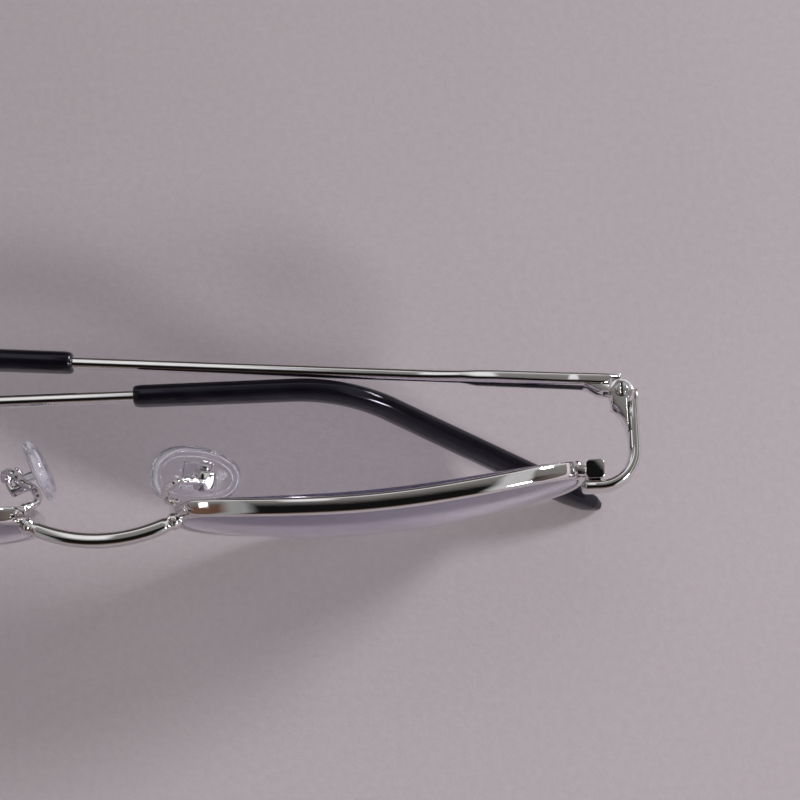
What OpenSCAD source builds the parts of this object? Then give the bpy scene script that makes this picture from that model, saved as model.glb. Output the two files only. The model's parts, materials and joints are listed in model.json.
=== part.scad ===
// Folded metal reading glasses: two full rims on a bowed bridge, swept end pieces, barrel hinges,
// stepped temples with black tips and clear nose pads on wire arms.
// +X points to the wearer's left, +Y towards the wearer and +Z up. The glasses stand on z = 0.

/* [Lenses] */
// Width of each lens
lens_w = 52; // [48:1:56]
// Height of each lens
lens_h = 37; // [33:1:39]
// Height of the lens above its widest level
lens_upper_h = 13; // [12:0.5:16]
// Squareness of the outline above the widest level
upper_square = 2.8; // [2.3:0.1:3.2]
// Squareness of the outline below the widest level, where 2 is an oval
lower_square = 2.2; // [2.1:0.1:2.5]
// Radius of the front surface
lens_front_r = 106; // [95:1:125]
// Radius of the back surface
lens_back_r = 135; // [115:1:170]
// Thickness at the middle of the lens
lens_t = 2.8; // [2.6:0.1:3.6]
// Thickness of the tongue round the lens edge
tongue_t = 0.7; // [0.5:0.05:0.9]
// Height of the tongue above the lens edge
tongue_h = 0.5; // [0.3:0.05:0.6]
// Distance of the tongue behind the front surface
tongue_set = 0.45; // [0.3:0.05:0.6]

/* [Front] */
// Gap between the two lenses
nose_gap = 20; // [18:1:23]
// Lean of the lenses, with the bottom nearer to the face
lens_lean = 6; // [4:0.2:9]
// Turn of each lens round the face
lens_wrap = 4; // [3:0.5:6]
// Depth of the rim from front to back
rim_d = 2.2; // [1.8:0.1:2.6]
// Thickness of the rim outside the lens
rim_t = 1.4; // [1.2:0.1:1.8]
// Opening between the two ends of each rim at its lock
rim_split = 0.5; // [0.3:0.1:0.8]
// Depth of the bridge bar from front to back
bridge_d = 1.9; // [1.5:0.1:2.4]
// Height of the bridge bar
bridge_h = 2.2; // [1.6:0.1:2.8]
// Forward bow of the bridge
bridge_bow = 2.7; // [1:0.2:4]
// Rise of the middle of the bridge
bridge_rise = 0.8; // [0:0.2:2.4]
// Height of the bridge ends over the widest level of the lenses
bridge_level = 5.3; // [4:0.1:7]

/* [End pieces] */
// Distance of each hinge axis outside the middle of its rim lock
hinge_out = 3.95; // [3.7:0.05:5]
// Distance of the hinge axes behind the middle of the whole depth
hinge_y = 4.02; // [3:0.01:6]
// Distance of the hinge axes behind the front of the end pieces
hinge_back = 13.2; // [12.4:0.1:15]
// Distance of the lens fronts ahead of the front of the end pieces
lens_ahead = 2.2; // [1.8:0.1:3]
// Height of the middle of the hinge over the widest level of the lenses
hinge_level = 6.3; // [5:0.1:7]
// Thickness of the end piece bar
end_t = 1.6; // [1.4:0.1:2]
// Height of the end piece bar
end_h = 3; // [2.4:0.1:3.6]
// Radius of the end piece corner on its middle line
end_r = 4.7; // [3.5:0.1:6]
// Side of the square rim lock
lock_w = 2.4; // [2:0.1:2.8]
// Height of each half of the rim lock
lock_h = 2; // [1.6:0.1:2.4]

/* [Hinges] */
// Radius of the hinge barrels
barrel_r = 1.45; // [1.3:0.05:1.6]
// Height of each of the two front barrels
front_barrel_h = 1.2; // [1:0.1:1.5]
// Height of the temple barrel between them
temple_barrel_h = 1.6; // [1.2:0.1:2]
// Radius of the hinge and lock screws
screw_r = 0.6; // [0.5:0.05:0.7]
// Radius of the screw heads
head_r = 0.95; // [0.85:0.05:1.1]
// Height of the screw heads
head_h = 0.5; // [0.4:0.05:0.7]
// Radial clearance of the screws in the turning barrels
screw_gap = 0.03; // [0.02:0.01:0.08]

/* [Temples] */
// Length of each temple along its middle line
temple_len = 145.4; // [140:0.2:150]
// Distance from the hinge axis to the bend behind the ear
bend_at = 92.5; // [88:0.5:98]
// Length of the bend
bend_len = 14; // [10:1:18]
// Downward angle of the tip
tip_drop = 39.5; // [36:0.5:42]
// Inward angle of the tip
tip_turn = 17; // [14:0.2:20]
// Downward slope of the straight temple
temple_slope = 1; // [0.5:0.1:2]
// Thickness of the flat blade at the hinge
blade_t = 1.6; // [1.4:0.1:2]
// Height of the flat blade at the hinge
blade_h = 3.8; // [3:0.1:4.2]
// Length of the flat blade
blade_len = 18.5; // [14:0.5:24]
// Thickness of the slim part of the temple
rod_t = 1.5; // [1.2:0.05:1.6]
// Height of the slim part of the temple
rod_h = 1.8; // [1.5:0.1:2.2]
// Distance from the hinge axis to the start of the black tip
sleeve_at = 71.8; // [66:0.1:80]
// Thickness of the black tip
sleeve_t = 2.7; // [2.4:0.1:3]
// Height of the black tip at its start
sleeve_h = 4; // [3.4:0.1:4.6]
// Height of the black tip at its wide end
paddle_h = 5.4; // [4.6:0.1:6]
// Angle by which the left temple stops short of the front when folded
left_short = 4.5; // [4:0.1:6]
// Angle by which the right temple stops short of the front when folded
right_short = 0.6; // [0.4:0.1:1]

/* [Nose pads] */
// Length of each pad
pad_len = 13; // [12:0.2:14]
// Width of each pad
pad_w = 8; // [7:0.2:9]
// Thickness of each pad
pad_t = 2.2; // [1.8:0.1:2.6]
// Thickness of the wire arm
arm_d = 1.05; // [0.9:0.05:1.2]
// Height of the arm root over the widest level of the lenses
arm_level = 5.6; // [5:0.2:6.4]
// Turn of the left pad about its screw from the upright
left_pad_turn = 62; // [40:1:66]
// Turn of the right pad about its screw from the upright
right_pad_turn = 1; // [0:1:12]
// Angle between each pad and the middle plane
pad_splay = 24; // [16:1:30]

/* [Hidden] */
$fn = 48;
steps = 80;
seam_gap = 0.05;
pocket_gap = 0.15;
butt_gap = 0.1;
corner = 0.25;
rim_corner = 0.2;
mouth = 0.04;
end_side = 0.5;
side_parts = 3;
core_margin = 6;
reach = 20;

lens_x = nose_gap/2 + lens_w/2;
lens_y = hinge_y - hinge_back - lens_ahead;
lens_lower_h = lens_h - lens_upper_h;
rim_set = tongue_set + tongue_t/2;
groove = [tongue_h + seam_gap, tongue_t/2 + 2*seam_gap];
half_d = rim_d/2;
rim_section = [
    [rim_corner, -half_d], [rim_t - rim_corner, -half_d],
    [rim_t, -half_d + corner], [rim_t, half_d - corner],
    [rim_t - rim_corner, half_d], [rim_corner, half_d],
    [0, half_d - rim_corner], [mouth, groove.y], groove, [groove.x, -groove.y],
    [mouth, -groove.y], [0, rim_corner - half_d]
];
lock_at = [side_u(hinge_level), level_v(hinge_level)];
split_turn = asin(rim_split/2/norm(lock_at));
outline = [for (i = [0:steps]) outline_at(rim_turn(i))];
rim_rings = [for (p = outline) [for (q = rim_section) edge_point(p, q[0], rim_set + q[1])]];
lens_z = -min([for (r = rim_rings) for (q = r) leaned(q).z]);
hinge_z = lens_z + hinge_level;
stack_h = 2*front_barrel_h + temple_barrel_h + 2*seam_gap;
pocket_r = barrel_r + pocket_gap;

lock_neck = 0.85;
lock_gap = 0.1;
lock_corner = 0.6;
plate_y = hinge_y - hinge_back + end_t/2;
lock_y = hinge_y - hinge_back + end_t + lock_w/2;
rim_out = lens_point(edge_point(lock_at, rim_t, rim_set));
lock_x = rim_out.x + lock_neck + lock_w/2;
hinge_x = lock_x + hinge_out;
skin_out = 2.2;
end_mid = skin_out - end_t/2;
leaf_in = 1.25;
web_len = 3.6;
web_start = 0.3;
temple_leaf_in = 0.25;
temple_leaf_len = 0.7;
temple_leaf_slope = 2.5;
barrel_web_in = 0.55;
slot_w = 0.3;

function level_v(h) = h/cos(lens_lean);
function side_u(h) =
    lens_w/2*pow(1 - pow(level_v(h)/lens_upper_h, upper_square), 1/upper_square);
function rim_turn(i) = atan2(lock_at.y, lock_at.x) + split_turn + i*(360 - 2*split_turn)/steps;
function rise_at(v) = v >= 0 ? lens_upper_h : lens_lower_h;
function square_at(v) = v >= 0 ? upper_square : lower_square;
function outline_at(a) =
    let (n = square_at(sin(a)), c = abs(cos(a))*2/lens_w, d = abs(sin(a))/rise_at(sin(a)))
    pow(pow(c, n) + pow(d, n), -1/n)*[cos(a), sin(a)];
function outward(p) =
    let (n = square_at(p.y) - 1, u = abs(p.x)*2/lens_w, v = abs(p.y)/rise_at(p.y))
    let (g = [sign(p.x)*pow(u, n)*2/lens_w, sign(p.y)*pow(v, n)/rise_at(p.y)])
    g/norm(g);
function sag(d) = lens_front_r - sqrt(lens_front_r*lens_front_r - d*d);
function edge_point(p, out, back) =
    let (f = p + out*outward(p))
    [f.x, sag(norm(f)) + back, f.y];
function leaned(p) = [
    p.x, p.y*cos(lens_lean) - p.z*sin(lens_lean), p.y*sin(lens_lean) + p.z*cos(lens_lean)
];
function lens_point(p) =
    let (q = leaned(p))
    [
        lens_x + q.x*cos(lens_wrap) - q.y*sin(lens_wrap),
        lens_y + q.x*sin(lens_wrap) + q.y*cos(lens_wrap),
        lens_z + q.z
    ];
function nasal_point(h, out, back) =
    let (p = [-side_u(h), level_v(h)])
    lens_point(edge_point(p, out, rim_set + back));
function rounded(a, b, r, k) = [
    for (q = [0:3]) for (j = [0:k])
        let (t = 90*(q + j/k), x = q == 0 || q == 3 ? 1 : -1, y = q < 2 ? 1 : -1)
        [x*(a/2 - r) + r*cos(t), y*(b/2 - r) + r*sin(t)]
];
function flat_ring(c, turn, section) = [
    for (q = section) c + q[0]*[-sin(turn), cos(turn), 0] + q[1]*[0, 0, 1]
];

module skin(rings) {
    m = len(rings[0]);
    k = len(rings);
    polyhedron(
        points = [for (r = rings) each r],
        faces = [
            [for (j = [0:m - 1]) j],
            [for (j = [1:m]) k*m - j],
            for (i = [0:k - 2]) for (j = [0:m - 1])
                let (a = i*m + j, b = i*m + (j + 1)%m)
                each [[a, a + m, b], [b, a + m, b + m]]
        ]
    );
}

module on_side(side) mirror([side < 0 ? 1 : 0, 0, 0]) children();

module on_lens() translate([lens_x, lens_y, lens_z]) rotate([lens_lean, 0, lens_wrap]) children();

module on_hinge(side) on_side(side) translate([hinge_x, hinge_y, hinge_z]) children();

module block(low, high) translate(low) cube(high - low);

// Solid of the lens outline grown by a distance
module lens_prism(grow) {
    translate([0, reach, 0])
        rotate([90, 0, 0])
            linear_extrude(2*reach)
                polygon([for (p = outline) p + grow*outward(p)]);
}

// Ball that carries the front surface moved back by a distance
module front_ball(back) translate([0, back + lens_front_r, 0]) sphere(lens_front_r, $fn = 180);

module lens(side) {
    on_side(side) on_lens() {
        intersection() {
            lens_prism(0);
            difference() {
                front_ball(0);
                translate([0, lens_t + lens_back_r, 0]) sphere(lens_back_r, $fn = 240);
            }
        }
        intersection() {
            lens_prism(tongue_h);
            difference() {
                front_ball(tongue_set);
                front_ball(tongue_set + tongue_t);
            }
        }
    }
}

module rim(side) on_side(side) on_lens() skin(rim_rings);

// Bridge between the rims
bridge_end = nasal_point(bridge_level, rim_t/2, -bridge_d/2);
bridge_steps = [-1, -0.94, -0.91, -0.87, -0.8, -0.6, -0.4, -0.2, 0, 0.2, 0.4, 0.6, 0.8, 0.87, 0.91, 0.94, 1];
bridge_swell = [[0, 1], [0.8, 1], [0.87, 0.86], [0.91, 1.12], [0.94, 1.12], [1, 0.9]];

module bridge_bar() {
    skin([
        for (u = bridge_steps)
            let (
                k = lookup(abs(u), bridge_swell),
                c = [
                    u*bridge_end.x,
                    bridge_end.y - bridge_bow*(1 - u*u),
                    bridge_end.z + bridge_rise*(1 - u*u)
                ]
            )
            flat_ring(
                c, atan(2*u*bridge_bow/bridge_end.x),
                rounded(k*bridge_d, k*bridge_h, k*end_side, side_parts)
            )
    ]);
}

// End pieces round the outer corners
corner_c = [hinge_x + end_mid - end_r, plate_y + end_r];
end_taper = [[0, 0.6], [0.25, 0.9], [0.6, 1]];
end_rings = [
    for (q = end_taper)
        flat_ring(
            [lock_x - lock_w/2 - end_side + q[0], plate_y, hinge_z], 0,
            rounded(end_t*q[1], end_h*q[1], end_side*q[1], side_parts)
        ),
    for (a = [0:10:90])
        flat_ring(
            [corner_c.x + end_r*sin(a), corner_c.y - end_r*cos(a), hinge_z], a,
            rounded(end_t, end_h, end_side, side_parts)
        ),
    for (q = [[2*pocket_r + web_len, 0], [web_len, 1], [0, 1]])
        flat_ring(
            [hinge_x + end_mid, hinge_y - q[0], hinge_z], 90,
            rounded(end_t, end_h + q[1]*(stack_h - end_h), end_side, side_parts)
        )
];

module end_piece(side) {
    difference() {
        on_side(side) skin(end_rings);
        on_hinge(side) cylinder(h = reach, r = pocket_r, center = true);
    }
}

// Locks that hold the two ends of each rim together
module lock_plan() {
    square([lock_w, lock_w - 2*lock_corner], center = true);
    square([lock_w - 2*lock_corner, lock_w], center = true);
    for (x = [-1, 1]) for (y = [-1, 1])
        translate([x, y]*(lock_w/2 - lock_corner)) circle(lock_corner);
}

module on_lock(side) on_side(side) translate([lock_x, lock_y, hinge_z]) children();

module lock_half() {
    translate([0, 0, lock_gap/2]) linear_extrude(lock_h) lock_plan();
    block(
        [-lock_w/2 - lock_neck - rim_t/2, -lock_w/4, rim_split/2],
        [-lock_w/4, lock_w/4, lock_h - lock_corner]
    );
}

module lock_top(side) {
    difference() {
        on_lock(side) difference() {
            lock_half();
            cylinder(h = 2*(lock_h - lock_corner), r = screw_r, center = true);
        }
        on_side(side) on_lens() lens_prism(rim_t/2);
    }
}

module lock_bottom(side) {
    difference() {
        on_lock(side) difference() {
            mirror([0, 0, 1]) lock_half();
            cylinder(h = 3*lock_h, r = screw_r + seam_gap, center = true);
            translate([0, 0, -lock_gap/2 - lock_h])
                cylinder(h = 2*head_h, r = head_r + seam_gap, center = true);
        }
        on_side(side) on_lens() lens_prism(rim_t/2);
    }
}

// Slotted screw head with its shank going down from z = 0
module slotted_screw(shank_r, shank_len, cap_r, cap_h) {
    translate([0, 0, -shank_len]) cylinder(h = shank_len, r = shank_r);
    difference() {
        union() {
            cylinder(h = cap_h/2, r = cap_r);
            translate([0, 0, cap_h/2]) cylinder(h = cap_h/2, r1 = cap_r, r2 = cap_r - cap_h/2);
        }
        translate([0, 0, cap_h]) cube([slot_w, 2*cap_r + 1, cap_h], center = true);
    }
}

module lock_screw(side) {
    on_lock(side) translate([0, 0, head_h - lock_gap/2 - lock_h])
        mirror([0, 0, 1]) slotted_screw(screw_r, 2*lock_h - head_h - lock_corner, head_r, head_h);
}

// Front half of each hinge, two barrels on a web that curves into the end piece
module front_hinge(side) {
    on_hinge(side) difference() {
        for (k = [-1, 1]) translate([0, 0, k*(stack_h - front_barrel_h)/2]) {
            cylinder(h = front_barrel_h, r = barrel_r, center = true);
            block(
                [-leaf_in, -pocket_r - 2*pocket_gap, -front_barrel_h/2],
                [end_mid - end_t/2, 0, front_barrel_h/2]
            );
        }
        cylinder(h = reach, r = screw_r, center = true);
    }
    on_hinge(side) linear_extrude(stack_h, center = true) polygon([
        [end_mid - end_t/2, -pocket_r],
        [-leaf_in, -pocket_r],
        for (a = [0:15:90]) [
            end_mid - end_t/2 - (end_mid - end_t/2 + leaf_in)*(1 - pow(sin(a), 1.6)),
            -pocket_r - web_start - web_len*(1 - cos(a))
        ]
    ]);
}

module hinge_screw(side) {
    on_hinge(side) translate([0, 0, stack_h/2]) slotted_screw(screw_r, stack_h, head_r, head_h);
}

// Folds one temple piece drawn along +Y with its outer face towards +X
module folded(side) {
    on_hinge(side) rotate([0, 0, 90 - (side > 0 ? left_short : right_short)]) children();
}

// Temple half of each hinge, one barrel on a leaf that runs out along the blade
module temple_hinge(side) {
    folded(side) difference() {
        union() {
            cylinder(h = temple_barrel_h, r = barrel_r, center = true);
            block(
                [-barrel_web_in, 0, -temple_barrel_h/2],
                [skin_out - blade_t, pocket_r + temple_leaf_len, temple_barrel_h/2]
            );
            linear_extrude(blade_h, center = true) polygon([
                [skin_out - blade_t, pocket_r],
                [-temple_leaf_in, pocket_r],
                for (a = [0:15:90]) [
                    -temple_leaf_in + (skin_out - blade_t + temple_leaf_in)*pow(sin(a), 2),
                    pocket_r + temple_leaf_len + temple_leaf_slope*a/90
                ]
            ]);
        }
        cylinder(h = reach, r = screw_r + screw_gap, center = true);
    }
}

// Temples and their tips, placed by the length along the middle line
bend_parts = 14;
rod_out = skin_out - rod_t/2;
core_at = sleeve_at - 1;
core_end = temple_len - core_margin;
bend_end = bend_at + bend_len;
blade_step = 2.5;
hinge_len = 1.2*stack_h;
rod_corner = 0.35;
rod_parts = 2;
sleeve_parts = 4;
sleeve_round = 0.46;
bend_rings = 8;
tip_stops = [for (q = [3.7, 2.8, 1.85, 1.4, 0.93, 0.65, 0.37, 0.19, 0.09, 0]) temple_len - q*paddle_h];
tip_h = [[3.7, 0.96], [1.85, 1], [0.93, 0.95], [0.37, 0.78], [0.09, 0.5], [0, 0.3]];
tip_t = [[1.85, 1.1], [0.93, 1.06], [0.37, 0.85], [0.09, 0.55], [0, 0.3]];
sleeve_start = [[0, 0.76], [0.4, 0.94], [1, 1]];
blade_h_at = [
    [0, stack_h], [hinge_len, stack_h], [hinge_len + blade_step, blade_h], [blade_len, blade_h],
    [blade_len + blade_step, rod_h], [temple_len, rod_h]
];
blade_t_at = [
    [0, blade_t], [blade_len, blade_t], [blade_len + blade_step, rod_t], [temple_len, rod_t]
];
sleeve_h_at = [
    for (q = sleeve_start) [sleeve_at + q[0], q[1]*sleeve_h],
    [bend_at, 1.1*sleeve_h],
    [bend_at + bend_len, 0.93*paddle_h],
    for (q = tip_h) [temple_len - q[0]*paddle_h, q[1]*paddle_h]
];
sleeve_t_at = [
    for (q = sleeve_start) [sleeve_at + q[0], q[1]*sleeve_t],
    [bend_at, sleeve_t],
    for (q = tip_t) [temple_len - q[0]*paddle_h, q[1]*sleeve_t]
];
bend_stops = [for (i = [0:bend_rings]) bend_at + i*bend_len/bend_rings];
core_stops = concat([core_at, sleeve_at + core_margin], bend_stops, [core_end]);
metal_stops = concat(
    [butt_gap, hinge_len, hinge_len + blade_step, blade_len, blade_len + blade_step],
    core_stops
);
sleeve_stops = concat([for (q = sleeve_start) sleeve_at + q[0]], bend_stops, tip_stops);

function heading(t) =
    let (f = min(1, max(0, (t - bend_at)/bend_len)))
    [temple_slope + f*(tip_drop - temple_slope), f*tip_turn];
function way(t) =
    let (h = heading(t))
    [-sin(h[1])*cos(h[0]), cos(h[1])*cos(h[0]), -sin(h[0])];
function middle_at(t) =
    let (
        u = max(0, min(t, bend_end) - bend_at),
        ways = [for (k = [1:bend_parts]) way(bend_at + u*(k - 0.5)/bend_parts)],
        ones = [for (k = [1:bend_parts]) 1]
    )
    [rod_out, 0, 0] + min(t, bend_at)*way(0) + u/bend_parts*(ones*ways)
        + max(0, t - bend_end)*way(bend_end);
function temple_ring(t, high, thick, out, side_r, k) =
    let (h = heading(t), c = middle_at(t), w = [cos(h[1]), sin(h[1]), 0])
    let (up = cross(w, way(t)))
    [for (q = rounded(high, thick, side_r, k)) c + q[0]*up + (q[1] + out)*w];
function metal_ring(t) =
    let (thick = lookup(t, blade_t_at))
    temple_ring(t, lookup(t, blade_h_at), thick, (rod_t - thick)/2, rod_corner, rod_parts);
function sleeve_ring(t) =
    let (thick = lookup(t, sleeve_t_at), high = lookup(t, sleeve_h_at))
    temple_ring(t, high, thick, 0, sleeve_round*thick, sleeve_parts);

module temple(side) {
    folded(side) difference() {
        skin([for (t = metal_stops) metal_ring(t)]);
        cylinder(h = reach, r = pocket_r, center = true);
    }
}

module tip_sleeve(side) {
    difference() {
        folded(side) difference() {
            skin([for (t = sleeve_stops) sleeve_ring(t)]);
            skin([for (t = core_stops) metal_ring(t)]);
        }
        block([-2*temple_len, -temple_len, -reach], [2*temple_len, temple_len, 0]);
    }
}

// Nose pads with their wire arms
box_w = 2.5;
box_back = 1.9;
slot_back = 1;
lug_t = 1;
pin_r = 0.45;
pin_head_r = 0.75;
lug_r = 0.75;
cheek_w = 2.9;
pad_mount = 2.1;
pad_face = pad_mount + pad_t;
plate_size = [0.8, 3.6, 4];
plate_at = pad_mount + 0.5;
pad_points = 32;
pad_layers = [[0, 0.62], [0.12, 0.8], [0.35, 0.93], [0.65, 1], [0.85, 0.96], [1, 0.82]];
pad_flare = 0.12;
pad_square = 2.3;
left_screw = [12.5, hinge_y - 7.5, lens_z - 2.4];
right_screw = [12.1, hinge_y - 6.6, lens_z - 3.4];
arm_root = nasal_point(arm_level, 0.65*rim_t, half_d);
left_arm_way = [
    [-1.1, 0.4, -0.8], [-1.7, 1.5, -2.1], [-1.75, 2.6, -3.5], [-1.1, 3.6, -4.8],
    [-0.1, 4.3, -5.9], [1.15, 4.5, -6.7], [2.85, 4.5, -7.6]
];
right_arm_way = [
    [-1.25, 0.6, -0.9], [-1.5, 1.8, -2], [-0.75, 3.2, -3.2], [0.8, 4.4, -4.5],
    [2, 5.8, -6], [3.15, 6.6, -6.9], [3.95, 6.5, -7.9], [4.15, 6.1, -9.1]
];
arm_points = 10;
arm_parts = 4;

function spline(a, b, c, d, t) =
    0.5*(2*b + (c - a)*t + (2*a - 5*b + 4*c - d)*t*t + (3*b - a - 3*c + d)*t*t*t);
function arm_line(way) =
    let (q = concat([arm_root - [0, half_d/2, 0]], [arm_root], [for (w = way) arm_root + w]))
    let (e = concat([2*q[0] - q[1]], q, [2*q[len(q) - 1] - q[len(q) - 2]]))
    [
        for (i = [0:len(q) - 2]) for (k = [0:arm_parts - 1])
            spline(e[i], e[i + 1], e[i + 2], e[i + 3], k/arm_parts),
        q[len(q) - 1]
    ];
function wire_ring(c, t) =
    let (side_v = cross([0, 0, 1], t), a = side_v/norm(side_v), b = cross(t, a)/norm(t))
    [for (j = [0:arm_points - 1]) c + arm_d/2*(a*cos(j*360/arm_points) + b*sin(j*360/arm_points))];

module pad_arm(side) {
    line = arm_line(side > 0 ? left_arm_way : right_arm_way);
    last = len(line) - 1;
    on_side(side) skin([
        for (i = [0:last]) wire_ring(line[i], line[min(last, i + 1)] - line[max(0, i - 1)])
    ]);
}

// Places a pad piece drawn upright with the nose towards -X and the screw along Y
module on_pad(side) {
    on_side(side)
        translate(side > 0 ? left_screw : right_screw)
            rotate([0, -(side > 0 ? left_pad_turn : right_pad_turn), 0])
                rotate([0, 0, -pad_splay])
                    children();
}

module pin(r, h) rotate([90, 0, 0]) cylinder(h = h, r = r, center = true);

module pad_box(side) {
    on_pad(side) difference() {
        block([-1, -cheek_w/2, -box_w/2], [box_back, cheek_w/2, box_w/2]);
        block([-2, -lug_t/2 - seam_gap, -box_w], [slot_back, lug_t/2 + seam_gap, box_w]);
        pin(pin_r, 2*cheek_w);
    }
}

module pad_screw(side) {
    on_pad(side) translate([0, cheek_w/2, 0]) rotate([-90, 0, 0])
        slotted_screw(pin_r, cheek_w, pin_head_r, head_h);
}

// Lug and plate moulded into each pad
module pad_core_shape() {
    block([-plate_at - 0.1, -lug_t/2, -lug_r], [0, lug_t/2, lug_r]);
    translate([-plate_at - plate_size.x/2, 0, 0]) cube(plate_size, center = true);
}

module pad_core(side) {
    on_pad(side) difference() {
        union() {
            pin(lug_r, lug_t);
            pad_core_shape();
        }
        pin(pin_r + screw_gap, 2*cheek_w);
    }
}

function pad_ring(depth, grow) = [
    for (j = [0:pad_points - 1])
        let (
            a = j*360/pad_points, c = cos(a), d = sin(a),
            r = pow(pow(abs(c), pad_square) + pow(abs(d), pad_square), -1/pad_square)
        )
        [
            depth - pad_face,
            grow*r*c*pad_w/2*(1 + pad_flare*r*d),
            r*d*(pad_len - (1 - grow)*pad_w)/2
        ]
];

module nose_pad(side) {
    on_pad(side) difference() {
        skin([for (q = pad_layers) pad_ring(q[0]*pad_t, q[1])]);
        pad_core_shape();
    }
}

steel = [0.78, 0.78, 0.8];
clear = [0.85, 0.85, 0.92, 0.5];
black = [0.08, 0.08, 0.1];

module left_rim() color(steel) rim(1);
module right_rim() color(steel) rim(-1);
module left_lens() color(clear) lens(1);
module right_lens() color(clear) lens(-1);
module bridge() color(steel) bridge_bar();
module left_end_piece() color(steel) end_piece(1);
module right_end_piece() color(steel) end_piece(-1);
module left_lock_top() color(steel) lock_top(1);
module right_lock_top() color(steel) lock_top(-1);
module left_lock_bottom() color(steel) lock_bottom(1);
module right_lock_bottom() color(steel) lock_bottom(-1);
module left_lock_screw() color(steel) lock_screw(1);
module right_lock_screw() color(steel) lock_screw(-1);
module left_front_hinge() color(steel) front_hinge(1);
module right_front_hinge() color(steel) front_hinge(-1);
module left_hinge_screw() color(steel) hinge_screw(1);
module right_hinge_screw() color(steel) hinge_screw(-1);
module left_temple_hinge() color(steel) temple_hinge(1);
module right_temple_hinge() color(steel) temple_hinge(-1);
module left_temple() color(steel) temple(1);
module right_temple() color(steel) temple(-1);
module left_tip_sleeve() color(black) tip_sleeve(1);
module right_tip_sleeve() color(black) tip_sleeve(-1);
module left_pad_arm() color(steel) pad_arm(1);
module right_pad_arm() color(steel) pad_arm(-1);
module left_pad_box() color(steel) pad_box(1);
module right_pad_box() color(steel) pad_box(-1);
module left_pad_screw() color(steel) pad_screw(1);
module right_pad_screw() color(steel) pad_screw(-1);
module left_pad_core() color(clear) pad_core(1);
module right_pad_core() color(clear) pad_core(-1);
module left_nose_pad() color(clear) nose_pad(1);
module right_nose_pad() color(clear) nose_pad(-1);

left_rim();
right_rim();
left_lens();
right_lens();
bridge();
left_end_piece();
right_end_piece();
left_lock_top();
right_lock_top();
left_lock_bottom();
right_lock_bottom();
left_lock_screw();
right_lock_screw();
left_front_hinge();
right_front_hinge();
left_hinge_screw();
right_hinge_screw();
left_temple_hinge();
right_temple_hinge();
left_temple();
right_temple();
left_tip_sleeve();
right_tip_sleeve();
left_pad_arm();
right_pad_arm();
left_pad_box();
right_pad_box();
left_pad_screw();
right_pad_screw();
left_pad_core();
right_pad_core();
left_nose_pad();
right_nose_pad();
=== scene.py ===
"""Folded metal reading glasses: polished frame, clear lenses with a painted lavender reflection of their
coating, clear nose pads and glossy black tips.

Pieces are shaped in millimetres and made metres when they are finished. +X is the wearer's left,
+Y towards the wearer and +Z up. Left pieces are shaped first and mirrored for the right side.
"""
import json
import math

import bmesh
import bpy
from mathutils import Matrix, Vector


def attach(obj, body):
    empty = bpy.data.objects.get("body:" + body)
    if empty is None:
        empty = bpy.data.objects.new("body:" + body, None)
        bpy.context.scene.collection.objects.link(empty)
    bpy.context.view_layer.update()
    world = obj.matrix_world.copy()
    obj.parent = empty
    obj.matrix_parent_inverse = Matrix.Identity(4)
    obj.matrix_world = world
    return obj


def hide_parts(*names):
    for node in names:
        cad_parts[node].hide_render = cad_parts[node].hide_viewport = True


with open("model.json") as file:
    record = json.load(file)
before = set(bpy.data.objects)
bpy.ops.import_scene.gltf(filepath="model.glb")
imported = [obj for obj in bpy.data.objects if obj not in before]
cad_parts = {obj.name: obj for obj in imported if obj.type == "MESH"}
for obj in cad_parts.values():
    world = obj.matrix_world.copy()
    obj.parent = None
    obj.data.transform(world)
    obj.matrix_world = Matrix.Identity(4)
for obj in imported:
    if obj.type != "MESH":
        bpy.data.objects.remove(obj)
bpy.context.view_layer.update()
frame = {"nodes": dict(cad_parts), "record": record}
joints = {j["name"]: Vector(j["pos_m"]) * 1000 for j in frame["record"]["behaviour"]["joints"]}
left_hinge = joints["left_temple_hinge_joint"]

MM = 0.001
WELD, SLIVER_WELD = 0.002, 0.02
X, Y, Z = Vector((1, 0, 0)), Vector((0, 1, 0)), Vector((0, 0, 1))

# Lenses and rims
LENS_W, LENS_UP, LENS_DOWN = 52, 13, 24
SQUARE_UP, SQUARE_DOWN = 2.8, 2.2
FRONT_R, BACK_R, LENS_T = 106, 135, 2.8
LEAN, WRAP = math.radians(6), math.radians(4)
RIM_D, RIM_T, RIM_SET, RIM_SPLIT = 2.2, 1.4, 0.8, 0.5
HINGE_LEVEL, HINGE_BACK, LENS_AHEAD = 6.3, 13.2, 2.2
LENS_C = Vector((36, left_hinge.y - HINGE_BACK - LENS_AHEAD, left_hinge.z - HINGE_LEVEL))

# Bridge and end pieces
BRIDGE_D, BRIDGE_H, BRIDGE_BOW, BRIDGE_RISE, BRIDGE_LEVEL = 1.9, 2.2, 2.7, 0.8, 5.3
BRIDGE_SWELL = [(0, 1), (0.8, 1), (0.87, 0.86), (0.91, 1.12), (0.94, 1.12), (1, 0.9)]
END_T, END_H, END_R, SKIN_OUT, STACK_H = 1.6, 3, 4.7, 2.2, 4.1
LOCK_NECK, POCKET_R, WEB_LEN = 0.85, 1.6, 3.6
LOCK_LEAN, SLOT_DEPTH = 0.16, 0.2

# How far each section nears a rectangle, where 2 is an ellipse
RIM_SQUARE, BRIDGE_SQUARE, END_SQUARE, SLEEVE_SQUARE, PAD_SQUARE = 3.6, 3, 2.8, 2.7, 2.3

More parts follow.
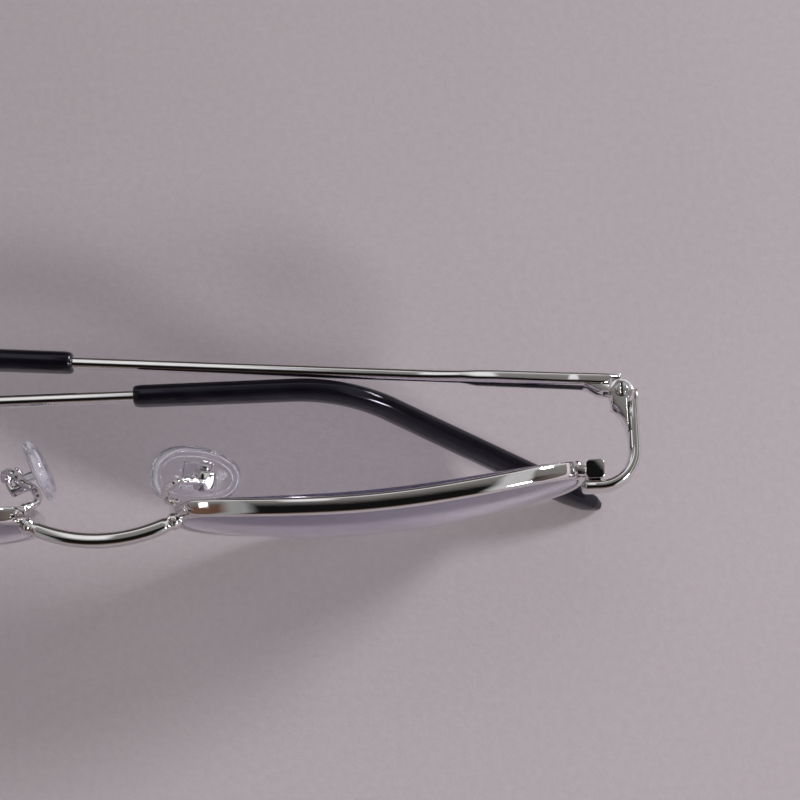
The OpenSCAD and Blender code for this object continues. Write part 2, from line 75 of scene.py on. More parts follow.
# Temples, in the length from the hinge axis
TEMPLE_LEN, BEND_AT, BEND_LEN, SLEEVE_AT = 145.4, 92.5, 14, 71.8
TEMPLE_SLOPE, TIP_DROP, TIP_TURN = 1, 39.5, 17
BLADE_T, BLADE_H, BLADE_LEN, ROD_T, ROD_H = 1.6, 3.8, 18.5, 1.5, 1.8
SLEEVE_T, SLEEVE_H, PADDLE_H = 2.7, 4, 5.4
FOLD = {"left": math.radians(90 - 4.5), "right": math.radians(90 - 0.6)}

# Nose pads
PAD_LEN, PAD_W, PAD_T, PAD_MOUNT, PAD_FLARE = 13, 8, 2.2, 2.1, 0.12
PAD_TURN = {"left": math.radians(62), "right": math.radians(1)}
PAD_SPLAY, ARM_LEVEL, ARM_D = math.radians(24), 5.6, 1.05
ARM_WAY = {
    "left": [(-1.1, 0.4, -0.8), (-1.7, 1.5, -2.1), (-1.75, 2.6, -3.5), (-1.1, 3.6, -4.8), (-0.1, 4.3, -5.9),
             (1.15, 4.5, -6.7), (2.85, 4.5, -7.6)],
    "right": [(-1.25, 0.6, -0.9), (-1.5, 1.8, -2), (-0.75, 3.2, -3.2), (0.8, 4.4, -4.5), (2, 5.8, -6),
              (3.15, 6.6, -6.9), (3.95, 6.5, -7.9), (4.15, 6.1, -9.1)],
}


# Materials

class Value:
    """A socket of a material's node tree, so that sums, products and powers are written as such."""

    def __init__(self, paint, socket):
        self.paint, self.socket = paint, socket

    def math(self, operation, *values):
        return self.paint.node("ShaderNodeMath", {"operation": operation}, *values)

    def __add__(self, other):
        return self.math("ADD", self, other)

    def __mul__(self, other):
        return self.math("MULTIPLY", self, other)

    def __pow__(self, other):
        return self.math("POWER", self, other)

    __radd__, __rmul__ = __add__, __mul__


class Paint:
    """The nodes of one material or of the world."""

    def __init__(self, owner, output="ShaderNodeOutputMaterial"):
        self.owner = owner
        owner.use_nodes = True
        self.tree = owner.node_tree
        self.tree.nodes.clear()
        self.output = self.tree.nodes.new(output)

    def node(self, kind, settings, *values, out=0, **named):
        """Adds a node: first its settings or a ramp's stops, then the values or links of its sockets."""
        made = self.tree.nodes.new(kind)
        for key, value in settings.items():
            if key == "stops":
                ramp = made.color_ramp.elements
                for _ in value[2:]:
                    ramp.new(0.5)
                for stop, (place, colour) in zip(ramp, value):
                    stop.position, stop.color = place, (*colour, 1)
            else:
                setattr(made, key, value)
        sockets = dict(enumerate(values)) | {key.replace("_", " "): v for key, v in named.items()}
        for key, value in sockets.items():
            socket = made.inputs[key]
            if isinstance(value, Value):
                self.tree.links.new(value.socket, socket)
            else:
                socket.default_value = (*value, 1) if socket.type == "RGBA" else value
        return Value(self, made.outputs[out])

    def noise(self, scale, detail=3.0, stretch=(1, 1, 1)):
        place = self.node("ShaderNodeTexCoord", {}, out="Object")
        spot = self.node("ShaderNodeMapping", {}, place, Scale=stretch)
        return self.node("ShaderNodeTexNoise", {}, Vector=spot, Scale=scale, Detail=detail)

    def ramp(self, factor, *stops):
        return self.node("ShaderNodeValToRGB", {"stops": stops}, factor)

    def tones(self, factor, low, high):
        return self.ramp(factor, (0.3, low), (0.7, high))

    def bump(self, height, strength, distance):
        return self.node("ShaderNodeBump", {}, Strength=strength, Distance=distance, Height=height)

    def surface(self, **named):
        return self.node("ShaderNodeBsdfPrincipled", {}, **named)

    def mixed(self, factor, first, second):
        return self.node("ShaderNodeMixShader", {}, factor, first, second)

    def finish(self, shader):
        self.tree.links.new(shader.socket, self.output.inputs["Surface"])
        return self.owner


def new_paint(name):
    return Paint(bpy.data.materials.new(name))


def polished_metal(name, colour, shade, rough):
    """Plated metal with a faint haze, fine rubbing marks and slightly duller spots."""
    paint = new_paint(name)
    haze = paint.noise(260, 4)
    rubbed = paint.noise(2600, 2, (0.15, 1, 1))
    return paint.finish(paint.surface(
        Base_Color=paint.tones(haze, shade, colour), Metallic=1.0,
        Roughness=rough + 0.08 * haze ** 3 + 0.02 * rubbed, Normal=paint.bump(rubbed, 0.12, 0.00002),
    ))


def black_tip():
    """Moulded black plastic with a blue cast, a clean gloss and a faint unevenness."""
    paint = new_paint("black_tip_plastic")
    swell = paint.noise(180, 2)
    grain = paint.noise(5200, 2)
    return paint.finish(paint.surface(
        Base_Color=paint.tones(swell, (0.003, 0.0025, 0.004), (0.007, 0.006, 0.011)),
        Roughness=0.07 + 0.07 * swell + 0.03 * grain, IOR=1.38, Specular_Tint=(0.85, 0.84, 1.0),
        Normal=paint.bump(swell + 0.1 * grain, 0.1, 0.0002),
    ))


def see_through(name, tint, rough, ior, milk_and_sheen_colour, share, passed, rim_highlight_share=0.0):
    """A clear body with a little milky scatter, which lets light through to what lies under it. On the lens
    the lavender milky layer is a painted reflection of its coating, and on the pads a milky band along the
    rims is a painted highlight.
    """
    paint = new_paint(name)
    cloud = paint.noise(420, 2)
    edge = paint.node("ShaderNodeAttribute", {"attribute_name": "edge"}, out="Fac")
    body = paint.surface(
        Base_Color=paint.tones(cloud, tuple(0.97 * c for c in tint), tint), Roughness=rough + 0.02 * cloud,
        IOR=ior, Transmission_Weight=1.0,
    )
    # On the lens this milky layer is a painted reflection of the coating's lavender tint.
    haze = paint.surface(Base_Color=milk_and_sheen_colour, Roughness=0.3)
    clear = paint.node("ShaderNodeBsdfTransparent", {}, passed)
    in_shadow = paint.node("ShaderNodeLightPath", {}, out="Is Shadow Ray")
    # The rim share adds a painted highlight of milky white along the rims.
    milk_and_sheen_share = share * (0.6 + 0.8 * cloud) + rim_highlight_share * edge
    return paint.finish(paint.mixed(in_shadow, paint.mixed(milk_and_sheen_share, body, haze), clear))


METAL = polished_metal("polished_silver_plate", (0.80, 0.79, 0.79), (0.72, 0.70, 0.70), 0.04)
SCREW = polished_metal("polished_screw_steel", (0.74, 0.74, 0.76), (0.60, 0.60, 0.62), 0.09)
# Near-black metal for the screw slot floors, painted in as shade.
SLOT_SHADE = polished_metal("painted_slot_shade", (0.06, 0.05, 0.05), (0.03, 0.025, 0.025), 0.4)
TIP = black_tip()
# The lavender milk of the lens is a painted reflection of its coating.
LENS = see_through("coated_lens", (0.93, 0.90, 1.0), 0.0, 1.52, (0.62, 0.56, 0.85), 0.07, (0.1, 0.095, 0.11))
INSERT = see_through(
    "clear_insert", (0.97, 0.97, 1.0), 0.02, 1.58, (0.85, 0.85, 0.95), 0.04, (0.6, 0.6, 0.62),
)
# The milky band along the pad's rims is a painted highlight.
PAD = see_through(
    "clear_pad_plastic", (0.97, 0.96, 1.0), 0.02, 1.48, (0.9, 0.88, 1.0), 0.03, (0.3, 0.3, 0.32), 0.75,
)


# Mesh tools

def finished(bm, name, material, nodes, side="left"):
    """Makes a piece of a shape in millimetres. It stands for its CAD nodes and rides on their body."""
    if side == "right":
        bmesh.ops.scale(bm, vec=(-1, 1, 1), verts=bm.verts)
    bmesh.ops.scale(bm, vec=(MM, MM, MM), verts=bm.verts)
    bmesh.ops.remove_doubles(bm, verts=bm.verts, dist=WELD * MM)
    bmesh.ops.recalc_face_normals(bm, faces=bm.faces)
    mesh = bpy.data.meshes.new(name)
    bm.to_mesh(mesh)
    bm.free()
    mesh.shade_smooth()
    mesh.materials.append(material)
    piece = bpy.data.objects.new(name, mesh)
    bpy.context.scene.collection.objects.link(piece)
    record = frame["record"]
    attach(piece, next(b for b, held in record["behaviour"]["bodies"].items() if nodes[0] in held))
    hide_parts(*nodes)
    return piece


def edge_rounding(piece, width, segments=3):
    rounding = piece.modifiers.new("rounded_edges", "BEVEL")
    rounding.width, rounding.segments = width * MM, segments
    rounding.limit_method, rounding.angle_limit = "ANGLE", math.radians(35)
    rounding.harden_normals = True
    return piece


def softened(node, material, rounds):
    """A CAD node's own shape worn to a rounded lump."""
    bm = bmesh.new()
    bm.from_mesh(frame["nodes"][node].data)
    bmesh.ops.scale(bm, vec=(1000, 1000, 1000), verts=bm.verts)
    bmesh.ops.remove_doubles(bm, verts=bm.verts, dist=WELD)
    bmesh.ops.triangulate(bm, faces=bm.faces)
    for _ in range(3):
        long = [e for e in bm.edges if e.calc_length() > 0.25]
        bmesh.ops.subdivide_edges(bm, edges=long, cuts=1)
        bmesh.ops.triangulate(bm, faces=bm.faces)
    for _ in range(rounds):
        bmesh.ops.smooth_vert(
            bm, verts=bm.verts, factor=0.5, use_axis_x=True, use_axis_y=True, use_axis_z=True,
        )
    return finished(bm, node + "_finished", material, [node])


def slotted(node, depth):
    """A screw of the CAD with near-black painted shade on its slot floor, which is the given depth under the
    head's face.
    """
    piece = crisp(node, SCREW, 0.03)
    piece.data.materials.append(SLOT_SHADE)
    zs = [v.co.z for v in piece.data.vertices]
    ends = (max(zs), min(zs))
    for face in piece.data.polygons:
        flat = abs(face.normal.z) > 0.9
        # Flat faces away from both ends are the slot floors, which take the painted shade.
        if flat and min(abs(face.center.z - end) for end in ends) > 0.5 * depth * MM:
            face.material_index = 1
    return piece


def crisp(node, material, width, lean=0.0):
    """A CAD node's own shape with its edges rounded, and its top leaned to the front where asked.

    The wide weld closes slivers, such as those where a lock's neck meets the rim.
    """
    bm = bmesh.new()
    bm.from_mesh(frame["nodes"][node].data)
    bmesh.ops.scale(bm, vec=(1000, 1000, 1000), verts=bm.verts)
    bmesh.ops.remove_doubles(bm, verts=bm.verts, dist=SLIVER_WELD)
    bmesh.ops.dissolve_limit(bm, angle_limit=math.radians(1), verts=bm.verts, edges=bm.edges)
    top, back = max(v.co.z for v in bm.verts), max(v.co.y for v in bm.verts)
    for v in bm.verts:
        if v.co.z > top - 0.01:
            v.co.z -= (back - v.co.y) * lean
    return edge_rounding(finished(bm, node + "_finished", material, [node]), width)


def oval_loop(bm, width, height, square, segments=56):
    """The edges of an oval across X and Y, which nears a rectangle as square grows from 2."""
    for v in bmesh.ops.create_circle(bm, segments=segments, radius=1)["verts"]:
        x, y = (math.copysign(abs(c) ** (2 / square), c) for c in v.co.xy)
        v.co = Vector((x * width / 2, y * height / 2, 0))


def station(point, side, up, wide=1, high=1):
    """Places a section: its X along side, its Y along up, scaled by wide and high."""
    side, up = side.normalized(), up.normalized()
    place = Matrix((side * wide, up * high, side.cross(up))).transposed().to_4x4()
    place.translation = point
    return place


def drawn(bm, stations):
    """Draws the loop that is in bm through the stations and closes its two ends."""
    loop = bm.edges[:]
    bmesh.ops.transform(bm, matrix=stations[0], verts=bm.verts)
    for before, after in zip(stations, stations[1:]):
        made = bmesh.ops.extrude_edge_only(bm, edges=loop)["geom"]
        new = {v for v in made if isinstance(v, bmesh.types.BMVert)}
        bmesh.ops.transform(bm, matrix=after @ before.inverted(), verts=list(new))
        loop = [e for e in made if isinstance(e, bmesh.types.BMEdge) and set(e.verts) <= new]
    bmesh.ops.holes_fill(bm, edges=bm.edges, sides=0)
    return bm


def bar(width, height, square, stations):
    bm = bmesh.new()
    oval_loop(bm, width, height, square)
    return drawn(bm, stations)


def place_all(bm, matrix):
    bmesh.ops.transform(bm, matrix=matrix, verts=bm.verts)


def table_at(table, t):
    """The value at t of a table of places and values, straight between its rows."""
    for (a, low), (b, high) in zip(table, table[1:]):
        if t <= b:
            return low + (high - low) * max(0, t - a) / (b - a)
    return table[-1][1]


def eased_at(table, t):
    """The same with a soft start and end to each step."""
    for (a, low), (b, high) in zip(table, table[1:]):
        if t <= b:
            u = max(0, t - a) / (b - a)
            return low + (high - low) * u * u * (3 - 2 * u)
    return table[-1][1]


def spread(places, steps):
    """The places with steps - 1 even ones put between each pair."""
    return [a + (b - a) * k / steps for a, b in zip(places, places[1:]) for k in range(steps)] + [places[-1]]


# The outline of the lens and its place in the front

def outline(angle):
    c, s = math.cos(angle), math.sin(angle)
    square, rise = (SQUARE_UP, LENS_UP) if s >= 0 else (SQUARE_DOWN, LENS_DOWN)
    r = ((abs(c) * 2 / LENS_W) ** square + (abs(s) / rise) ** square) ** (-1 / square)
    return Vector((r * c, r * s))


def outward(p):
    square, rise = (SQUARE_UP, LENS_UP) if p.y >= 0 else (SQUARE_DOWN, LENS_DOWN)
    u, v = abs(p.x) * 2 / LENS_W, abs(p.y) / rise
    return Vector((
        math.copysign(u ** (square - 1) * 2 / LENS_W, p.x), math.copysign(v ** (square - 1) / rise, p.y),
    )).normalized()


def sag(radius, distance):
    return radius - math.sqrt(radius * radius - distance * distance)


LENS_PLACE = Matrix.Translation(LENS_C) @ Matrix.Rotation(WRAP, 4, "Z") @ Matrix.Rotation(LEAN, 4, "X")


def edge_point(p, out, back):
    flat = p + out * outward(p)
    return Vector((flat.x, sag(FRONT_R, flat.length) + back, flat.y))


def level_point(level, out, back, nasal):
    """A point of the rim at a height over the widest level of the lens."""
    v = level / math.cos(LEAN)
    u = LENS_W / 2 * (1 - (v / LENS_UP) ** SQUARE_UP) ** (1 / SQUARE_UP)
    return LENS_PLACE @ edge_point(Vector((-u if nasal else u, v)), out, RIM_SET + back)


def rim(side):
    steps = 200
    lock = LENS_PLACE.inverted() @ level_point(HINGE_LEVEL, 0, 0, False)
    start = math.atan2(lock.z, lock.x)
    gap = math.asin(RIM_SPLIT / 2 / math.hypot(lock.x, lock.z))
    stations = []
    for k in range(steps + 1):
        p = outline(start + gap + k * (2 * math.pi - 2 * gap) / steps)
        inner, outer = edge_point(p, 0, RIM_SET), edge_point(p, RIM_T, RIM_SET)
        stations.append(station((inner + outer) / 2, outer - inner, Y))
    bm = bar(RIM_T, RIM_D, RIM_SQUARE, stations)
    place_all(bm, LENS_PLACE)
    return finished(bm, side + "_rim_polished", METAL, [side + "_rim"], side)


def lens(side):
    """Two curved faces drawn out from the middle and back, in one skin."""
    bm = bmesh.new()
    for v in bmesh.ops.create_circle(bm, segments=160, radius=1)["verts"]:
        p = outline(math.atan2(v.co.y, v.co.x))
        v.co = Vector((p.x, p.y, 0))
    sizes = [0.004] + [k / 26 for k in range(1, 27)]
    flat = [station(Vector((0, 0, 0)), X, Z, k, k) for k in sizes]
    far = [station(Vector((0, 50, 0)), X, Z, k, k) for k in reversed(sizes)]
    drawn(bm, flat + far)
    for v in bm.verts:
        d = math.hypot(v.co.x, v.co.z)
        v.co.y = LENS_T + sag(BACK_R, d) if v.co.y > 25 else sag(FRONT_R, d)
    place_all(bm, LENS_PLACE)
    return edge_rounding(finished(bm, side + "_lens_polished", LENS, [side + "_lens"], side), 0.1, 2)


def bridge():
    end = level_point(BRIDGE_LEVEL, RIM_T / 2, -BRIDGE_D / 2, True)
    stations = []
    for k in range(141):
        u = math.sin((k / 70 - 1) * math.pi / 2)
        point = Vector((u * end.x, end.y - BRIDGE_BOW * (1 - u * u), end.z + BRIDGE_RISE * (1 - u * u)))
        along = Vector((1, 2 * u * BRIDGE_BOW / end.x, -2 * u * BRIDGE_RISE / end.x))
        size = eased_at(BRIDGE_SWELL, abs(u))
        stations.append(station(point, Z.cross(along), along.cross(Z.cross(along)), size, size))
    return finished(bar(BRIDGE_D, BRIDGE_H, BRIDGE_SQUARE, stations), "bridge_polished", METAL, ["bridge"])


def end_piece(side):
    plate_y = left_hinge.y - HINGE_BACK + END_T / 2
    mid_x = left_hinge.x + SKIN_OUT - END_T / 2
    nose = level_point(HINGE_LEVEL, RIM_T, 0, False).x + LOCK_NECK - 0.5
    tall = STACK_H / END_H
    ways = [(nose + d, plate_y, 0, k, k) for d, k in ((0, 0.6), (0.1, 0.75), (0.25, 0.9), (0.6, 1))]
    for k in range(25):
        a = math.radians(90 * k / 24)
        high = 1 + 0.45 * (tall - 1) * k / 24
        ways.append((mid_x - END_R * (1 - math.sin(a)), plate_y + END_R * (1 - math.cos(a)), a, 1, high))
    for k in range(1, 10):
        u = k / 9
        y = (plate_y + END_R) * (1 - u) + (left_hinge.y - WEB_LEN) * u
        ways.append((mid_x, y, math.pi / 2, 1, 1 + (tall - 1) * (0.45 + 0.55 * u)))
    ways.append((mid_x, left_hinge.y - POCKET_R, math.pi / 2, 1, tall))
    butt = SKIN_OUT - POCKET_R
    for back, high in ((POCKET_R - 0.25, tall), (0.08, tall), (0, 0.97 * tall)):
        x = left_hinge.x + SKIN_OUT - butt / 2
        ways.append((x, left_hinge.y - back, math.pi / 2, butt / END_T, high))
    stations = [
        station(Vector((x, y, left_hinge.z)), Vector((-math.sin(a), math.cos(a), 0)), Z, wide, high)
        for x, y, a, wide, high in ways
    ]
    bm = bar(END_T, END_H, END_SQUARE, stations)
    return finished(bm, side + "_end_piece_polished", METAL, [side + "_end_piece"], side)


# Temples, shaped along +Y with the outer face towards +X and then folded

def fold_place(side):
    return Matrix.Translation(left_hinge) @ Matrix.Rotation(FOLD[side], 4, "Z")


def way(t):
    part = min(1, max(0, (t - BEND_AT) / BEND_LEN))
    drop = math.radians(TEMPLE_SLOPE + part * (TIP_DROP - TEMPLE_SLOPE))
    turn = math.radians(part * TIP_TURN)
    return Vector((-math.sin(turn) * math.cos(drop), math.cos(turn) * math.cos(drop), -math.sin(drop)))


def middle(t):
    """The middle line of the temple at a length from the hinge axis."""
    bent = max(0, min(t, BEND_AT + BEND_LEN) - BEND_AT)
    point = Vector((SKIN_OUT - ROD_T / 2, 0, 0)) + min(t, BEND_AT) * way(0)
    for k in range(14):
        point += bent / 14 * way(BEND_AT + bent * (k + 0.5) / 14)
    return point + max(0, t - BEND_AT - BEND_LEN) * way(TEMPLE_LEN)


def temple_station(t, out, wide, high):
    along = way(t)
    side = along.cross(Z).normalized()
    return station(middle(t) + out * side, side, side.cross(along), wide, high)


def temple(side):
    """A flat blade that steps down to a slim oval rod."""
    hinge_len, step = 1.2 * STACK_H, 2.5
    high = [(0, STACK_H), (hinge_len, STACK_H), (hinge_len + step, BLADE_H), (BLADE_LEN, BLADE_H),
            (BLADE_LEN + step, ROD_H)]
    thick = [(0, BLADE_T), (BLADE_LEN, BLADE_T), (BLADE_LEN + step, ROD_T)]
    crown = [(0, STACK_H), (hinge_len, STACK_H), (hinge_len + step, BLADE_H), (BLADE_LEN - 3, BLADE_H),
             (BLADE_LEN + 3 * step, ROD_H)]
    square = [(0, 6), (BLADE_LEN, 4.2), (BLADE_LEN + step, 2.8)]
    butt = SKIN_OUT - POCKET_R
    butt_ends = ((0.1, 0.96), (0.2, 1), (POCKET_R - 0.2, 1))
    ends = [(t, (ROD_T - butt) / 2, butt, STACK_H * k) for t, k in butt_ends]
    places = spread([POCKET_R, hinge_len], 3)[:-1] + spread([hinge_len, hinge_len + step], 6)
    places += spread([9, BLADE_LEN], 4) + spread([BLADE_LEN, BLADE_LEN + step], 10)[1:]
    places += spread([24, SLEEVE_AT + 6], 20)
    for t in places:
        w = eased_at(thick, t)
        ends.append((t, (ROD_T - w) / 2, w, eased_at(high, t)))
    bm = bmesh.new()
    bmesh.ops.create_circle(bm, segments=56, radius=0.5)
    drawn(bm, [temple_station(t, 0, 1, 1) for t, *_ in ends])
    start = middle(0)
    along = way(0)
    side_way = along.cross(Z).normalized()
    up = side_way.cross(along)
    for v in bm.verts:
        off = v.co - start
        t = off.dot(along)
        out, w, h = next(row[1:] for row in ends if abs(row[0] - t) < 0.001)
        n = 2 / table_at(square, t)
        a, b = 2 * off.dot(side_way), 2 * off.dot(up)
        wide = math.copysign(abs(a) ** n, a) * w / 2 + out
        if b > 0 and t > hinge_len:
            h = eased_at(crown, t)
        v.co = start + t * along + wide * side_way + math.copysign(abs(b) ** n, b) * h / 2 * up
    place_all(bm, fold_place(side))
    return finished(bm, side + "_temple_polished", METAL, [side + "_temple"], side)


def tip_sleeve(side):
    end, tall = TEMPLE_LEN, PADDLE_H / SLEEVE_H
    lip = [(SLEEVE_AT, 0.78), (SLEEVE_AT + 0.12, 0.88), (SLEEVE_AT + 0.4, 0.96), (SLEEVE_AT + 1, 1)]
    high = lip + [
        (BEND_AT, 1.1), (BEND_AT + BEND_LEN, 0.93 * tall), (end - 20, 0.96 * tall), (end - 10, tall),
        (end - 5, 0.95 * tall), (end - 2, 0.78 * tall), (end - 0.5, 0.5 * tall), (end, 0.3 * tall),
    ]
    wide = lip + [
        (BEND_AT, 1), (end - 10, 1.1), (end - 5, 1.06), (end - 2, 0.85), (end - 0.5, 0.55), (end, 0.3),
    ]
    places = [t for t, _ in lip] + spread([SLEEVE_AT + 4, BEND_AT - 2], 8)
    places += spread([BEND_AT, BEND_AT + BEND_LEN], 16)
    places += spread([BEND_AT + BEND_LEN + 1, end - 5], 12)
    places += [end - d for d in (4, 3, 2.5, 2, 1.6, 1.2, 0.9, 0.7, 0.5, 0.35, 0.2, 0.1, 0)]
    stations = [temple_station(t, 0, table_at(wide, t), table_at(high, t)) for t in places]
    bm = bar(SLEEVE_T, SLEEVE_H, SLEEVE_SQUARE, stations)
    place_all(bm, fold_place(side))
    for v in bm.verts:
        v.co.z = max(v.co.z, 0)
    return finished(bm, side + "_tip_sleeve_moulded", TIP, [side + "_tip_sleeve"], side)


# Nose pads, shaped upright with the nose towards -X and the screw along Y

def pad_place(side):
    screw = joints[side + "_pad_rock"].copy()
    screw.x = abs(screw.x)
    turned = Matrix.Rotation(-PAD_TURN[side], 4, "Y") @ Matrix.Rotation(-PAD_SPLAY, 4, "Z")
    return Matrix.Translation(screw) @ turned


def nose_pad(side):
    """A soft drop shape with a domed nose face, a raised flat behind and a milky painted highlight along its
    rims.
    """
    layers = [
        (0.0, 0.02), (0.01, 0.3), (0.04, 0.5), (0.09, 0.68), (0.18, 0.82), (0.3, 0.92), (0.46, 0.98),
        (0.62, 1.0), (0.76, 0.985), (0.86, 0.95), (0.92, 0.9), (0.94, 0.84), (0.9, 0.76), (0.86, 0.68),
        (0.88, 0.6), (0.96, 0.54), (1.0, 0.48), (1.0, 0.02),
    ]
    bm = bmesh.new()
    for v in bmesh.ops.create_circle(bm, segments=96, radius=1)["verts"]:
        c, s = v.co.x, v.co.y
        r = (abs(c) ** PAD_SQUARE + abs(s) ** PAD_SQUARE) ** (-1 / PAD_SQUARE)
        v.co = Vector((r * c * PAD_W / 2 * (1 + PAD_FLARE * r * s), r * s * PAD_LEN / 2, 0))
    drawn(bm, [
        station(Vector((depth * PAD_T - PAD_MOUNT - PAD_T, 0, 0)), Y, Z, k, 1 - (1 - k) * PAD_W / PAD_LEN)
        for depth, k in layers
    ])
    # Painted highlight: milky white, strongest at the rim and at the edges of the two faces.
    rim_highlight_layer = bm.verts.layers.float.new("edge")
    for v in bm.verts:
        across, along = abs(2 * v.co.y / PAD_W), abs(2 * v.co.z / PAD_LEN)
        far = (across ** PAD_SQUARE + along ** PAD_SQUARE) ** (1 / PAD_SQUARE)
        u = min(1, max(0, (far - 0.86) / 0.08))
        face = 2 * (v.co.x + PAD_MOUNT + PAD_T) / PAD_T - 1
        v[rim_highlight_layer] = u * u * (3 - 2 * u) * (0.14 + 0.86 * min(1, abs(face)) ** 4)
    place_all(bm, pad_place(side))
    return finished(bm, side + "_nose_pad_moulded", PAD, [side + "_nose_pad"], side)


def pad_arm(side):
    """Round wire bent through the way points, with a soft end."""
    root = level_point(ARM_LEVEL, 0.65 * RIM_T, RIM_D / 2, True)
    knots = [root - RIM_D / 4 * Y, root] + [root + Vector(p) for p in ARM_WAY[side]]
    knots = [2 * knots[0] - knots[1]] + knots + [2 * knots[-1] - knots[-2]]
    line = []
    for a, b, c, d in zip(knots, knots[1:], knots[2:], knots[3:]):
        for k in range(10):
            t = k / 10
            line.append(0.5 * (
                2 * b + (c - a) * t + (2 * a - 5 * b + 4 * c - d) * t * t + (3 * b - a - 3 * c + d) * t ** 3
            ))
    line.append(knots[-2])
    stations = []
    for k, point in enumerate(line):
        along = line[min(k + 1, len(line) - 1)] - line[max(0, k - 1)]
        bead = 1 + 0.05 * math.sin(k * 0.9)
        stations.append(station(point, Z.cross(along), along.cross(Z.cross(along)), bead, bead))
    bm = bmesh.new()
    bmesh.ops.create_circle(bm, segments=20, radius=ARM_D / 2)
    return finished(drawn(bm, stations), side + "_pad_arm_polished", METAL, [side + "_pad_arm"], side)


for side in ("left", "right"):
    rim(side)
    lens(side)
    end_piece(side)
    temple(side)
    tip_sleeve(side)
    nose_pad(side)
    pad_arm(side)
    crisp(side + "_lock_top", METAL, 0.2, LOCK_LEAN)
    for node, width in (("lock_bottom", 0.2), ("front_hinge", 0.08), ("temple_hinge", 0.08)):
        crisp(side + "_" + node, METAL, width)
    softened(side + "_pad_box", METAL, 14)
    crisp(side + "_pad_core", INSERT, 0.1)
    slotted(side + "_lock_screw", SLOT_DEPTH)
    slotted(side + "_hinge_screw", SLOT_DEPTH)
    crisp(side + "_pad_screw", SCREW, 0.04)
bridge()


# Paper floor

def paper():
    paint = new_paint("mauve_paper")
    broad = paint.noise(9, 2)
    fibre = paint.noise(900, 4)
    fleck = paint.noise(2600, 2)
    tone = paint.ramp(
        broad * 0.5 + fibre * 0.35 + fleck * 0.15, (0.3, (0.372, 0.33, 0.354)), (0.7, (0.438, 0.39, 0.417)),
    )
    return paint.finish(paint.surface(
        Base_Color=tone, Roughness=0.85, Normal=paint.bump(fibre + 0.6 * fleck, 0.3, 0.0001),
    ))


floor_bm = bmesh.new()
bmesh.ops.create_grid(floor_bm, x_segments=1, y_segments=1, size=2)
floor_mesh = bpy.data.meshes.new("paper_floor")
floor_bm.to_mesh(floor_mesh)
floor_bm.free()
floor_mesh.materials.append(paper())
floor = bpy.data.objects.new("paper_floor", floor_mesh)
bpy.context.scene.collection.objects.link(floor)


# Camera and light

def aimed(thing, place, target):
    thing.location = place
    thing.rotation_euler = (target - place).to_track_quat("-Z", "Y").to_euler()
    bpy.context.scene.collection.objects.link(thing)
    return thing


def lamp(name, place, size, power, colour):
    data = bpy.data.lights.new(name, "AREA")
    data.shape, data.size, data.size_y = "RECTANGLE", *size
    data.energy, data.color = power, colour
    return aimed(bpy.data.objects.new(name, data), Vector(place), Vector((0.03, 0, 0.02)))


lamp("front_right_panel", (0.75, -0.5, 0.57), (0.2, 0.2), 7.6, (1.0, 0.98, 0.97))
lamp("back_right_panel", (0.8, 0.34, 0.45), (0.2, 0.2), 5.7, (0.98, 0.98, 1.0))
lamp("left_panel", (-0.9, 0.12, 0.4), (0.2, 0.2), 0.3, (1.0, 1.0, 1.0))

CAMERA_AT = Vector((38.94, -80.528, 326.594)) * MM
TILT, ROLL = math.radians(15.996), math.radians(1.977)
camera_data = bpy.data.cameras.new("camera")
camera_data.sensor_width, camera_data.lens = 36, 106.3
camera_data.clip_start, camera_data.clip_end = 0.01, 20
camera = bpy.data.objects.new("camera", camera_data)
up = Vector((0, math.cos(TILT), math.sin(TILT)))
right = X * math.cos(ROLL) - up * math.sin(ROLL)
up = X * math.sin(ROLL) + up * math.cos(ROLL)
camera_turn = Matrix((right, up, right.cross(up))).transposed().to_4x4()
camera.matrix_world = Matrix.Translation(CAMERA_AT) @ camera_turn
bpy.context.scene.collection.objects.link(camera)
bpy.context.scene.camera = camera


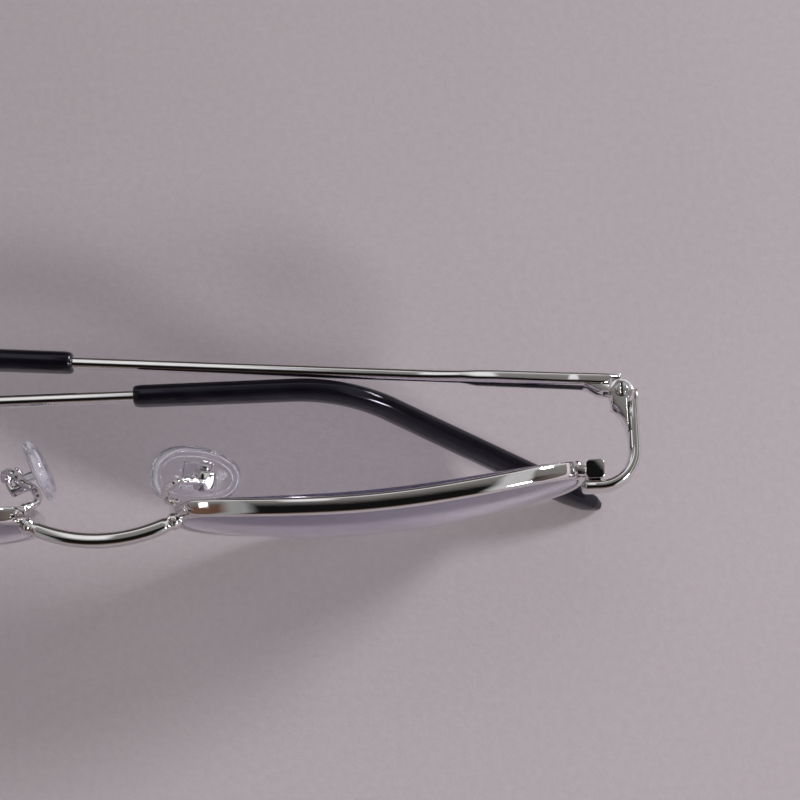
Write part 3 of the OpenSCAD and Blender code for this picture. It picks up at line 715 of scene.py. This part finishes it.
def studio():
    """A room for the metal to mirror: dark in front with a brown band low down, grey overhead and a white
    band behind, a white strip on each side, and a bright pane up to the left of the nose."""
    world = bpy.data.worlds.new("soft_room")
    bpy.context.scene.world = world
    paint = Paint(world, "ShaderNodeOutputWorld")
    way_out = paint.node("ShaderNodeTexCoord", {}, out="Generated")
    back = paint.node("ShaderNodeSeparateXYZ", {}, way_out, out="Y")
    side = paint.node("ShaderNodeSeparateXYZ", {}, way_out, out="X")
    none, dark, full = (0, 0, 0), (0.04, 0.04, 0.04), (1, 1, 1)
    left_strip, right_strip, glare = (1.8, 1.8, 1.8), (3.2, 3.2, 3.2), (5.2, 5.2, 5.2)
    depth = paint.ramp(
        0.5 + 0.5 * back,
        (0.0, (1.4, 1.2, 1.06)), (0.04, (0.8, 0.46, 0.32)), (0.1, (0.05, 0.04, 0.036)),
        (0.5, (0.03, 0.03, 0.034)), (0.55, (1.1, 1.05, 1.0)), (0.68, (1.45, 1.4, 1.35)),
        (0.74, (4.6, 4.6, 4.7)), (0.78, (4.6, 4.6, 4.7)), (0.82, (0.4, 0.32, 0.29)), (1.0, (0.5, 0.42, 0.38)),
    )
    flanks = paint.ramp(
        0.5 + 0.5 * side,
        (0.0, (0.9, 0.5, 0.34)), (0.1, (0.7, 0.36, 0.24)), (0.16, left_strip), (0.22, left_strip),
        (0.27, dark), (0.7, dark), (0.75, right_strip), (0.86, right_strip),
        (0.89, (0.2, 0.15, 0.13)), (1.0, (1.0, 0.85, 0.76)),
    )
    window = paint.ramp(0.5 + 0.5 * side, (0.32, none), (0.38, glare), (0.45, glare), (0.475, none))
    span = paint.ramp(0.5 + 0.5 * back, (0.54, none), (0.61, full), (0.71, full), (0.77, none))
    pane = paint.node("ShaderNodeVectorMath", {"operation": "MULTIPLY"}, window, span)
    tone = paint.node("ShaderNodeVectorMath", {"operation": "MAXIMUM"}, depth, flanks)
    tone = paint.node("ShaderNodeVectorMath", {"operation": "MAXIMUM"}, tone, pane)
    return paint.finish(paint.node("ShaderNodeBackground", {}, tone, 0.18))


studio()
bpy.context.scene.view_settings.view_transform = "Standard"

bpy.context.view_layer.update()
